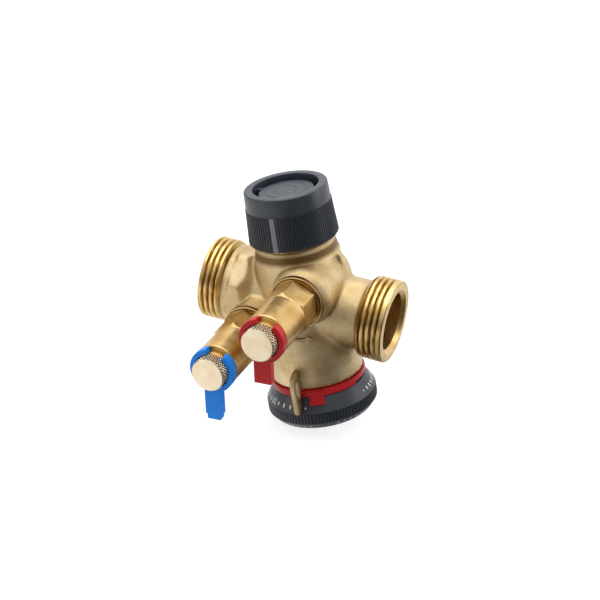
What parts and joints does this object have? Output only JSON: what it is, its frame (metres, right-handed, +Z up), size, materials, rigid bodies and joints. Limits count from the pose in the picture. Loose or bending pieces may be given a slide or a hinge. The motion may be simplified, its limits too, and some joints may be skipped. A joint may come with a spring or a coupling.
{
  "type": "regulating valve",
  "caption": "Cast brass pressure-independent regulating valve: threaded pipe ends, leaning spindle with a plastic cap, preset dial with lock ring, and pressure test points.",
  "frame": {"origin": "middle of the inlet port's face, on the pipe line", "axes": "+X along the pipe line from the inlet port to the outlet port, +Z up, and the test points look out towards -Y; the spindle line leans 14 degrees from +Z towards -X and crosses the pipe line 40.3 mm from the origin"},
  "size_m": [0.0783, 0.0841, 0.1026],
  "materials": {
    "cast_brass": "sand cast",
    "turned_brass": "turned",
    "steel": "drawn",
    "rubber": "moulded",
    "dark_plastic": "moulded, satin",
    "inner_plastic": "moulded",
    "red_plastic": "moulded, satin",
    "blue_plastic": "moulded, satin"
  },
  "bodies": {
    "valve": {"valve_body": "cast_brass", "seat_insert": "turned_brass", "head_insert": "turned_brass", "stem_gland": "turned_brass", "lower_bonnet": "turned_brass", "inlet_point_body": "turned_brass", "outlet_point_body": "turned_brass", "inlet_seal_retainer": "turned_brass", "outlet_seal_retainer": "turned_brass", "return_spring": "steel", "regulator_spring": "steel", "seat_o_ring": "rubber", "head_o_ring": "rubber", "stem_o_ring": "rubber", "bonnet_o_ring": "rubber", "preset_o_ring": "rubber", "diaphragm": "rubber", "inlet_point_o_ring": "rubber", "outlet_point_o_ring": "rubber", "inlet_needle_seal": "rubber", "outlet_needle_seal": "rubber", "regulator_cage": "inner_plastic", "stem_guide": "inner_plastic"},
    "protective_cap": {"protective_cap": "dark_plastic"},
    "stem": {"stem": "steel", "valve_plug": "turned_brass", "plug_seal": "rubber", "plug_nut": "turned_brass"},
    "preset": {"preset_dial": "dark_plastic", "preset_spindle": "steel", "preset_sleeve": "inner_plastic", "dial_screw": "steel"},
    "locking_ring": {"locking_ring": "red_plastic"},
    "plunger": {"regulator_plunger": "inner_plastic", "diaphragm_plate": "steel"},
    "inlet_tip_cap": {"inlet_tip_cap": "turned_brass", "inlet_cap_gasket": "rubber"},
    "outlet_tip_cap": {"outlet_tip_cap": "turned_brass", "outlet_cap_gasket": "rubber"},
    "inlet_marker": {"inlet_marker": "red_plastic"},
    "outlet_marker": {"outlet_marker": "blue_plastic"}
  },
  "joints": [
    {"name": "cap_lift", "type": "slide", "parent": "valve", "child": "protective_cap", "axis": [-0.2419, 0, 0.9703], "range_m": [0, 0.03]},
    {"name": "stem_stroke", "type": "slide", "parent": "valve", "child": "stem", "axis": [-0.2419, 0, 0.9703], "range_m": [-0.0028, 0], "stiffness_N_per_m": 1500, "springref_m": 0.004, "deforming": ["return_spring"]},
    {"name": "dial_turn", "type": "hinge", "parent": "valve", "child": "preset", "pos_m": [0.04998, 0, -0.03881], "axis": [-0.2419, 0, 0.9703], "range_deg": [0, 285]},
    {"name": "lock_ring_turn", "type": "hinge", "parent": "valve", "child": "locking_ring", "pos_m": [0.04828, 0, -0.03202], "axis": [-0.2419, 0, 0.9703], "range_deg": [0, 20]},
    {"name": "regulator_stroke", "type": "slide", "parent": "valve", "child": "plunger", "axis": [-0.2419, 0, 0.9703], "range_m": [-0.0046, 0], "stiffness_N_per_m": 800, "springref_m": 0.004, "deforming": ["regulator_spring", "diaphragm"]},
    {"name": "inlet_tip_cap_off", "type": "slide", "parent": "valve", "child": "inlet_tip_cap", "axis": [0, -1, 0], "range_m": [0, 0.009]},
    {"name": "outlet_tip_cap_off", "type": "slide", "parent": "valve", "child": "outlet_tip_cap", "axis": [0, -1, 0], "range_m": [0, 0.009]},
    {"name": "inlet_marker_turn", "type": "hinge", "parent": "valve", "child": "inlet_marker", "pos_m": [0.0455, -0.0552, 0.0112], "axis": [0, 1, 0], "range_deg": [-180, 0]},
    {"name": "outlet_marker_turn", "type": "hinge", "parent": "valve", "child": "outlet_marker", "pos_m": [0.0266, -0.0563, -0.0065], "axis": [0, 1, 0], "range_deg": [0, 180]}
  ]
}
